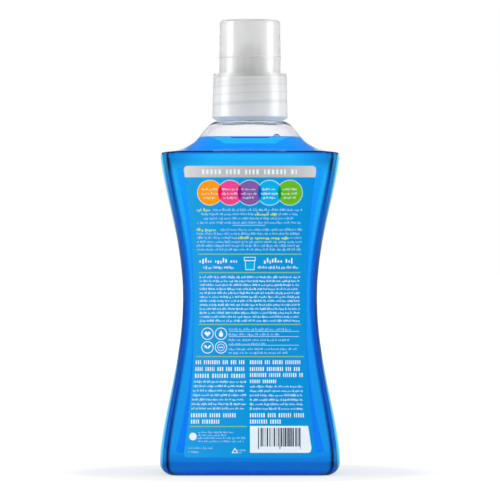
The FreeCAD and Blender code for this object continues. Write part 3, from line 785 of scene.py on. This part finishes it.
def makeFilm(name, node, side, size, printed, glowingBacking):
    quarter = [math.pi / 2 * step / film["roundSteps"] for step in range(film["roundSteps"])]
    turns = [film["round"] * (1 - math.cos(angle)) for angle in quarter]
    low = size["bottom"] + film["round"]
    high = size["top"] - film["round"]
    heights = [size["bottom"] + turn for turn in turns]
    heights += [low + (high - low) * step / film["rows"] for step in range(film["rows"] + 1)]
    heights += [size["top"] - turn for turn in reversed(turns)]
    deselectAll()
    bpy.ops.mesh.primitive_grid_add(x_subdivisions=film["columns"], y_subdivisions=len(heights) - 1, size=1)
    piece = bpy.context.object
    panel = side * (form["halfDepth"] + film["gap"]) * mm
    for row, height in enumerate(heights):
        half = filmHalf(height, size)
        for column in range(film["columns"] + 1):
            x = half * (2 * column / film["columns"] - 1)
            piece.data.vertices[row * (film["columns"] + 1) + column].co = (x * mm, panel, height * mm)
    bpy.ops.object.mode_set(mode="EDIT")
    bpy.ops.mesh.select_all(action="SELECT")
    depth = side * (film["thickness"] - film["gap"]) * mm
    bpy.ops.mesh.extrude_region_move(TRANSFORM_OT_translate={"value": (0, depth, 0)})
    bpy.ops.mesh.select_all(action="SELECT")
    bpy.ops.mesh.normals_make_consistent(inside=False)
    bpy.ops.object.mode_set(mode="OBJECT")
    settle(piece, name, bottleBody, printed, 0)
    piece.data.materials.append(glowingBacking)
    for face in piece.data.polygons:
        if face.normal.y * side < -0.5:
            face.material_index = 1
    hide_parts(node)
    return piece


def labelPlace(column, row, layer, side=-1):
    depth = form["halfDepth"] + film["thickness"] + layer * film["layer"]
    return (-side * (column - midColumn) * labelScale, side * depth * mm,
            eyeHeight + (camera["midRow"] - row) * labelScale)


def liftInk(piece, side=-1):
    # gives flat print the thickness of one layer of ink
    deselectAll()
    piece.select_set(True)
    bpy.context.view_layer.objects.active = piece
    bpy.ops.object.mode_set(mode="EDIT")
    bpy.ops.mesh.select_all(action="SELECT")
    depth = side * film["layer"] * mm * film["inkShare"]
    bpy.ops.mesh.extrude_region_move(TRANSFORM_OT_translate={"value": (0, depth, 0)})
    bpy.ops.mesh.select_all(action="SELECT")
    bpy.ops.mesh.normals_make_consistent(inside=False)
    bpy.ops.object.mode_set(mode="OBJECT")


def printBars(name, bars, material, layer, side=-1):
    # each bar is left, top, right, bottom in pixels; all of one colour are one piece
    deselectAll()
    bpy.ops.mesh.primitive_plane_add(size=1)
    piece = bpy.context.object
    copies = piece.modifiers.new("copies", "ARRAY")
    copies.count = len(bars)
    copies.relative_offset_displace = (2, 0, 0)
    bpy.ops.object.modifier_apply(modifier="copies")
    points = piece.data.vertices
    for index, (left, top, right, bottom) in enumerate(bars):
        for corner, (column, row) in enumerate(((left, bottom), (right, bottom), (left, top), (right, top))):
            points[index * 4 + corner].co = labelPlace(column, row, layer, side)
    liftInk(piece, side)
    return settle(piece, name, bottleBody, material, 0)


def printOutline(name, outline, material, layer, side=-1):
    # one flat patch of ink from a closed list of pixels
    deselectAll()
    bpy.ops.mesh.primitive_circle_add(vertices=len(outline), radius=1, fill_type="NGON")
    piece = bpy.context.object
    for index, (column, row) in enumerate(outline):
        piece.data.vertices[index].co = labelPlace(column, row, layer, side)
    liftInk(piece, side)
    return settle(piece, name, bottleBody, material, 0)


def discOutline(column, row, radius, count=48):
    return [(column + radius * math.cos(2 * math.pi * step / count),
             row + radius * math.sin(2 * math.pi * step / count)) for step in range(count)]


def lensOutline(leftColumn, rightColumn, row, radius, count=16):
    # where two equal discs of one row overlap
    half = (rightColumn - leftColumn) / 2
    reach = math.acos(half / radius)
    right = [(leftColumn + radius * math.cos(reach * (2 * step / count - 1)),
              row + radius * math.sin(reach * (2 * step / count - 1))) for step in range(count)]
    left = [(rightColumn - radius * math.cos(reach * (2 * step / count - 1)),
             row - radius * math.sin(reach * (2 * step / count - 1))) for step in range(count)]
    return right + left


# Ticks of print: widths and gaps as shares of the letter, heights as shares of the line
ticks = {
    "wide": (0.3, 0.55), "gap": 0.45, "lightGap": 0.42, "space": 0.8,
    "capital": 0.9, "rises": (0.4, 0.4, 0.4, 0.7, 0.7, 0.9), "drops": (0, 0, 0, 0, 0.25),
}


def greeked(left, right, row, size, letter, words=(2, 8), capitals=False, weight=1.0):
    # a line of wordless ticks, as print looks from a step away
    bars = []
    column = left
    while column < right - letter:
        for tick in range(random.randint(*words)):
            width = letter * random.uniform(*ticks["wide"]) * weight
            if column + width > right:
                break
            rise = ticks["capital"] if capitals else random.choice(ticks["rises"])
            drop = 0 if capitals else random.choice(ticks["drops"])
            bars.append((column, row + size / 2 - rise * size, column + width, row + size / 2 + drop * size))
            column += width + letter * (ticks["gap"] + ticks["lightGap"] * (1 - weight))
        column += letter * ticks["space"]
    return bars


# The back label's layout, in pixels of the photograph
label = {
    "header": (165.8, 177.3), "headerTicks": (202, 298, 171.6, 5.4, 4.4, (4, 6), True),
    "discRow": 192.7, "discRadius": 12.2, "discRim": 0.7,
    "discColumns": (209.9, 230.1, 249.7, 269.7, 289.9),
    "discColours": ((255, 155, 10), (240, 70, 140), (130, 90, 165), (0, 175, 235), (105, 185, 35)),
    "lensColours": ((235, 10, 95), (150, 25, 130), (0, 95, 188), (0, 150, 70)),
    "discRows": ((188.9, 8.0), (193.3, 8.5), (197.4, 6.5)),
    "discPrint": (2.2, 1.3),
    "rules": (
        (254.2, 198, 301.4), (272.6, 199, 300.3), (324.4, 198.6, 301), (356.6, 196, 303.8), (426.5, 189.5, 247),
    ),
    "ruleHalf": 0.42,
    "dots": {"left": 233, "step": 2.2, "wide": 1.1, "top": 225.1, "bottom": 225.7, "count": 15},
    # left, right, row, size, letter
    "yellow": (
        (197, 213, 209.4, 3.2, 2.0), (255, 277, 213.7, 3.2, 2.0),
        (197, 220, 229.3, 3.2, 2.0), (238, 289, 237.3, 3.2, 2.0),
    ),
    "fineRows": (
        (213.5, 302.7, 209.4, 2.6, 1.3), (201.5, 254.5, 213.7, 2.4, 1.3), (278, 298, 213.7, 2.4, 1.3),
        (204, 296, 218, 2.4, 1.3), (197, 302.7, 222.2, 2.4, 1.3),
        (221, 302, 229.3, 2.4, 1.3), (197, 302, 233.3, 2.4, 1.3), (197, 237, 237.3, 2.4, 1.3),
        (290, 302, 237.3, 2.4, 1.3), (197, 302, 241.5, 2.4, 1.3), (197, 302, 245.3, 2.4, 1.3),
        (197, 302, 249.1, 2.4, 1.3),
        (229, 291, 328.9, 2.4, 1.4), (229, 280, 334.1, 2.2, 1.3), (229, 289, 339.7, 2.2, 1.3),
        (229, 266, 343.6, 2.2, 1.3), (229, 298, 348.8, 2.2, 1.3), (229, 288, 352.5, 2.2, 1.3),
        (198.4, 235, 432, 1.9, 1.2), (198.4, 226, 435, 1.9, 1.2), (198.4, 246, 437.7, 1.9, 1.2),
        (198.4, 246, 441, 1.9, 1.2), (188.6, 214, 447.7, 1.9, 1.2), (188.6, 199, 451.7, 1.9, 1.2),
        (237, 246, 450, 1.9, 1.0), (237, 244, 452.3, 1.9, 1.0),
    ),
    "fineWeight": 0.55, "yellowWeight": 1.35,
    "rows": (
        (199.5, 239.5, 260, 5.0, 3.0, (4, 7)), (264, 295, 260, 5.0, 3.0, (4, 7)),
        (203.5, 235, 267, 2.8, 1.5), (258, 301, 267, 2.8, 1.5),
        (195.8, 245, 362, 4.4, 2.4, (3, 8), True), (195.5, 246, 368.8, 4.4, 2.4, (3, 8), True),
        (195, 247, 375.6, 4.6, 2.8, (5, 9), True),
        (250, 303, 362, 4.4, 2.4, (3, 8), True), (250, 301, 368.8, 4.4, 2.4, (3, 8), True),
        (250, 304, 374.8, 4.4, 2.4, (3, 8), True), (250, 278, 381.2, 3.8, 2.2, (5, 8), True),
        (191, 240, 415, 4.6, 2.6, (3, 8), True), (191, 224, 421.4, 4.6, 2.6, (3, 8), True),
        (250, 306, 415, 4.6, 2.6, (3, 8), True), (250, 281, 421.4, 4.6, 2.6, (3, 8), True),
    ),
    "contents": {"left": 199.8, "right": 300, "first": 276.7, "step": 3.97, "count": 12, "size": 2.2, "letter": 1.2},
    "leftColumn": {"left": 194, "slant": 0.45, "right": 246, "first": 381.4, "step": 4.45, "count": 7,
                   "size": 2.2, "letter": 1.2},
    "rightColumn": {"left": 250, "slant": 0.0, "right": 303, "first": 386.1, "step": 4.45, "count": 6,
                    "size": 2.2, "letter": 1.2},
    "hairlines": (331.4, 336.5, 345.2), "hairline": {"left": 229, "right": 299, "half": 0.15},
    "careColumns": (207.5, 221.0), "careRows": (333.7, 347.4), "careRadius": 6.1, "careLine": 0.7,
}


def smallPrint(paragraph):
    bars = []
    for line in range(paragraph["count"]):
        left = paragraph["left"] - paragraph.get("slant", 0) * line
        bars += greeked(left, paragraph["right"], paragraph["first"] + paragraph["step"] * line,
                        paragraph["size"], paragraph["letter"])
    return bars


def headerBand(size, top, bottom, inset=0.0, steps=8):
    # a band across a label that follows its curved edges
    rows = [top + (bottom - top) * step / steps for step in range(steps + 1)]
    scale = mm / labelScale
    heights = [((camera["midRow"] - row) * labelScale + eyeHeight) / mm for row in rows]
    edges = [filmHalf(height, size) * scale - inset for height in heights]
    left = [(midColumn - edge, row) for edge, row in zip(edges, rows)]
    return left + [(midColumn + edge, row) for edge, row in reversed(list(zip(edges, rows)))]


def discRow(prefix, columns, row, radius, rimWidth, finishes, pale, side=-1):
    for index, column in enumerate(columns):
        printOutline(f"{prefix}Rim{index + 1}", discOutline(column, row, radius + rimWidth), pale, 0, side)
    for index, column in enumerate(columns):
        printOutline(f"{prefix}{index + 1}", discOutline(column, row, radius), finishes[index], 1, side)


def makeBackPrint(inks):
    printOutline("silverHeader", headerBand(backSize, *label["header"]), inks["silver"], 0)
    printBars("headerTicks", greeked(*label["headerTicks"]), inks["white"], 1)
    columns, row, radius = label["discColumns"], label["discRow"], label["discRadius"]
    discRow("colourDisc", columns, row, radius, label["discRim"], inks["discs"], inks["pale"])
    for index in range(len(columns) - 1):
        outline = lensOutline(columns[index], columns[index + 1], row, radius)
        printOutline(f"discOverlap{index + 1}", outline, inks["lenses"][index], 2)
    discWords = []
    for column in columns:
        for wordRow, half in label["discRows"]:
            discWords += greeked(column - half, column + half, wordRow, *label["discPrint"])
    printBars("discWords", discWords, inks["white"], 3)

    half = label["ruleHalf"]
    rules = [(left, row - half, right, row + half) for row, left, right in label["rules"]]
    printBars("limeRules", rules, inks["lime"], 0)
    yellow = [bar for line in label["yellow"] for bar in greeked(*line, weight=label["yellowWeight"])]
    printBars("yellowRows", yellow, inks["yellow"], 0)
    white = [bar for line in label["fineRows"] for bar in greeked(*line, weight=label["fineWeight"])]
    white += [bar for line in label["rows"] for bar in greeked(*line)]
    for part in ("contents", "leftColumn", "rightColumn"):
        white += smallPrint(label[part])
    dots = label["dots"]
    starts = [dots["left"] + dots["step"] * dot for dot in range(dots["count"])]
    white += [(start, dots["top"], start + dots["wide"], dots["bottom"]) for start in starts]
    line = label["hairline"]
    white += [(line["left"], row - line["half"], line["right"], row + line["half"]) for row in label["hairlines"]]
    printBars("whiteRows", white, inks["white"], 0)
    print("rows of print ready")


def heartOutline(column, row, size):
    points = []
    for step in range(24):
        turn = 2 * math.pi * step / 24
        aside = 16 * math.sin(turn) ** 3
        up = 13 * math.cos(turn) - 5 * math.cos(2 * turn) - 2 * math.cos(3 * turn) - math.cos(4 * turn)
        points.append((column + size * aside / 16, row - size * up / 16))
    return points[::-1]


def leafOutline(column, row, size, lean):
    # a pointed leaf that leans to one side
    points = []
    for step in range(16):
        turn = 2 * math.pi * step / 16
        along, across = size * math.cos(turn), size * 0.45 * math.sin(turn) * abs(math.sin(turn)) ** 0.4
        points.append((column + along * math.cos(lean) - across * math.sin(lean),
                       row + along * math.sin(lean) + across * math.cos(lean)))
    return points


# Measuring cup, part full: each patch's outline, its ink and its layer
cupSign = {
    "cupRim": (((244, 257), (255.6, 257), (255.6, 260.7), (244, 260.7)), "white", 0),
    "cupBody": (((245, 260.7), (254.9, 260.7), (254.5, 270), (245.4, 270)), "white", 0),
    "cupRimField": (((244.6, 257.6), (255, 257.6), (255, 260.1), (244.6, 260.1)), "blue", 1),
    "cupInside": (((245.6, 261.1), (254.3, 261.1), (254, 269.4), (245.9, 269.4)), "blue", 1),
    "cupFill": (((245.7, 262.6), (254.2, 262.6), (254, 269.4), (245.9, 269.4)), "cyan", 2),
}

# Small signs at the foot of the label, and the bar code with made-up bars
footSigns = {
    "spot": (193, 436.5, 3.8),
    "smallTriangle": (((231.5, 453.2), (238.3, 453.2), (234.9, 447.6)), "white", 0),
    "triangleField": (((233, 452.4), (236.8, 452.4), (234.9, 449.2)), "blue", 1),
}
barCode = {
    "left": 250, "top": 425.9, "low": 448, "turn": 451.6, "bottom": 452.8, "steps": 8,
    "barTop": 427.8, "barBottom": 446.5, "guardBottom": 449, "first": 258.0, "last": 301,
    "guards": ((0, 260), (279, 281), (299.5, 500)), "widths": (0.46, 0.46, 0.92, 1.38),
}


def makeCareSigns(inks):
    radius, line = label["careRadius"], label["careLine"]
    places = [(column, row) for row in label["careRows"] for column in label["careColumns"]]
    for index, (column, row) in enumerate(places):
        printOutline(f"careRing{index + 1}", discOutline(column, row, radius), inks["white"], 0)
        printOutline(f"careField{index + 1}", discOutline(column, row, radius - line), inks["blue"], 1)
    (heartAt, dropAt, leafAt, dashAt) = places
    printOutline("heartSign", heartOutline(*heartAt, 3.0), inks["white"], 2)
    drop = [(dropAt[0], dropAt[1] - 3.6)] + [
        (dropAt[0] + 2.2 * math.sin(turn / 10 * math.pi), dropAt[1] + 1.0 - 2.2 * math.cos(turn / 10 * math.pi))
        for turn in range(3, 18)]
    printOutline("dropSign", drop, inks["white"], 2)
    for index, (aside, lean) in enumerate(((-1.7, 50), (1.7, -50))):
        leaf = leafOutline(leafAt[0] + aside, leafAt[1] - 0.6, 2.3, math.radians(lean))
        printOutline(f"leafSign{index + 1}", leaf, inks["white"], 2)
    printOutline("dashRing", discOutline(*dashAt, 3.6), inks["white"], 2)
    printOutline("dashField", discOutline(*dashAt, 3.1), inks["blue"], 3)
    dash = (dashAt[0] - 1.9, dashAt[1] - 0.5, dashAt[0] + 1.9, dashAt[1] + 0.5)
    printBars("dashSign", [dash], inks["white"], 4)
    for name, (outline, ink, layer) in cupSign.items():
        printOutline(name, outline[::-1], inks[ink], layer)


def makeFootSigns(inks):
    printOutline("plainSpot", discOutline(*footSigns["spot"]), inks["white"], 0)
    for name in ("smallTriangle", "triangleField"):
        outline, ink, layer = footSigns[name]
        printOutline(name, outline[::-1], inks[ink], layer)
    left, top, low, bottom = barCode["left"], barCode["top"], barCode["low"], barCode["bottom"]
    edges = headerBand(backSize, top, low, steps=barCode["steps"])
    high, corner = edges[-1][0], edges[barCode["steps"] + 1][0]
    box = [(left, top), (high - 4.5, top), (corner - 4.0, low), (corner - 4.8, barCode["turn"]),
           (corner - 7, bottom), (left, bottom)]
    printOutline("codeField", box[::-1], inks["white"], 0)
    bars = []
    column = barCode["first"]
    while column < barCode["last"]:
        width = random.choice(barCode["widths"])
        guard = any(start < column < end for start, end in barCode["guards"])
        foot = barCode["guardBottom"] if guard else barCode["barBottom"]
        bars.append((column, barCode["barTop"], column + width, foot))
        column += width + random.choice(barCode["widths"])
    printBars("codeBars", bars, inks["navy"], 1)


# The front label isn't in the photograph: plain bands, discs and wordless ticks
face = {
    "bands": ((166.4, 178.6), (440.0, 452.0)), "bandInset": 2.2,
    "discRow": 330.0, "discRadius": 13.0, "discColumns": (208.6, 236.2, 263.8, 291.4),
    "rows": (
        (212, 288, 222, 11.0, 6.4, (4, 7)), (206, 294, 240, 5.0, 3.0), (220, 280, 252, 4.0, 2.4),
        (216, 284, 366, 4.0, 2.4), (208, 292, 376, 3.0, 1.8), (214, 286, 386, 3.0, 1.8), (206, 294, 425, 4.0, 2.4),
    ),
}


def makeFrontPrint(inks):
    for index, (top, bottom) in enumerate(face["bands"]):
        outline = headerBand(frontSize, top, bottom, face["bandInset"])
        printOutline(f"frontBand{index + 1}", outline, inks["silver"], 0, 1)
    discRow("frontDisc", face["discColumns"], face["discRow"], face["discRadius"], label["discRim"],
            inks["discs"], inks["pale"], 1)
    printBars("frontRows", [bar for line in face["rows"] for bar in greeked(*line)], inks["white"], 0, 1)


def dress(node, material):
    # a frame node that keeps its own shape gets a finished surface
    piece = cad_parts[node]
    piece.data.materials.clear()
    piece.data.materials.append(material)


bpy.context.scene.view_settings.view_transform = "Standard"
makeCamera()
makeStudio()
makeFloor()
print("studio ready")

clearPlastic = clearFinish("clearBlownPlastic", clear["plastic"])
filledPlastic = clearFinish("filledPlastic", liquid["ior"])
# the clear plastic is tinted by the attribute's painted shade
tintByAttribute(filledPlastic, "paintedEdgeTint")
filledShader = filledPlastic.node_tree.nodes["Principled BSDF"]
filledShader.inputs["Specular IOR Level"].default_value = clear["filledGlint"]
bowedPlastic = clearFinish("bowedSidePlastic", paintedTurnShade["sideIor"])
tintByAttribute(bowedPlastic, "paintedEdgeTint")
wettedSkin = absorbingFinish("wettedInnerSkin", grey(1), 0.0)
makeShell([clearPlastic, filledPlastic, wettedSkin, bowedPlastic])
makeNeckThread(clearPlastic)
makeLiquid(absorbingFinish("blueDetergent", liquid["colour"], liquid["density"]),
           clearFinish("detergentSurface", liquid["ior"]))
makeBubble(clearFinish("bubbleSkin", clear["bubble"]))
print("shell and liquid ready")

dress("dosing_cap", frostedFinish("frostedCap", "cap"))
dress("spout_collar", bandedFinish("frostedCollar", "collar"))
print("cap and collar ready")

inks = {
    "white": inkFinish("whiteInk", srgb(232, 243, 250)),
    "pale": inkFinish("paleInk", srgb(190, 225, 240)),
    "yellow": inkFinish("yellowInk", srgb(215, 228, 15)),
    "lime": inkFinish("limeInk", srgb(150, 200, 110)),
    "silver": sheenPaintedInk("silverInk", paintedInkSheen["silver"]),
    "blue": sheenPaintedInk("labelBlue", paintedInkSheen["blue"]),
    "navy": inkFinish("navyInk", srgb(15, 30, 70)),
    "discs": [inkFinish(f"discInk{k + 1}", srgb(*colour)) for k, colour in enumerate(label["discColours"])],
    "lenses": [inkFinish(f"overlapInk{k + 1}", srgb(*colour)) for k, colour in enumerate(label["lensColours"])],
}
inks["cyan"] = inks["discs"][3]
glowingBacking = inkFinish("filmBacking", srgb(245, 247, 250), 0.5)
# the white film's backing has a painted glow of its own, standing in for light let through from behind
glow = glowingBacking.node_tree.nodes["Principled BSDF"].inputs
glow["Emission Color"].default_value = grey(1)
glow["Emission Strength"].default_value = film["glow"]
makeFilm("backFilm", "back_label", -1, backSize, inks["blue"], glowingBacking)
makeFilm("frontFilm", "front_label", 1, frontSize, inks["blue"], glowingBacking)
makeBackPrint(inks)
makeCareSigns(inks)
makeFootSigns(inks)
makeFrontPrint(inks)
print("labels ready")
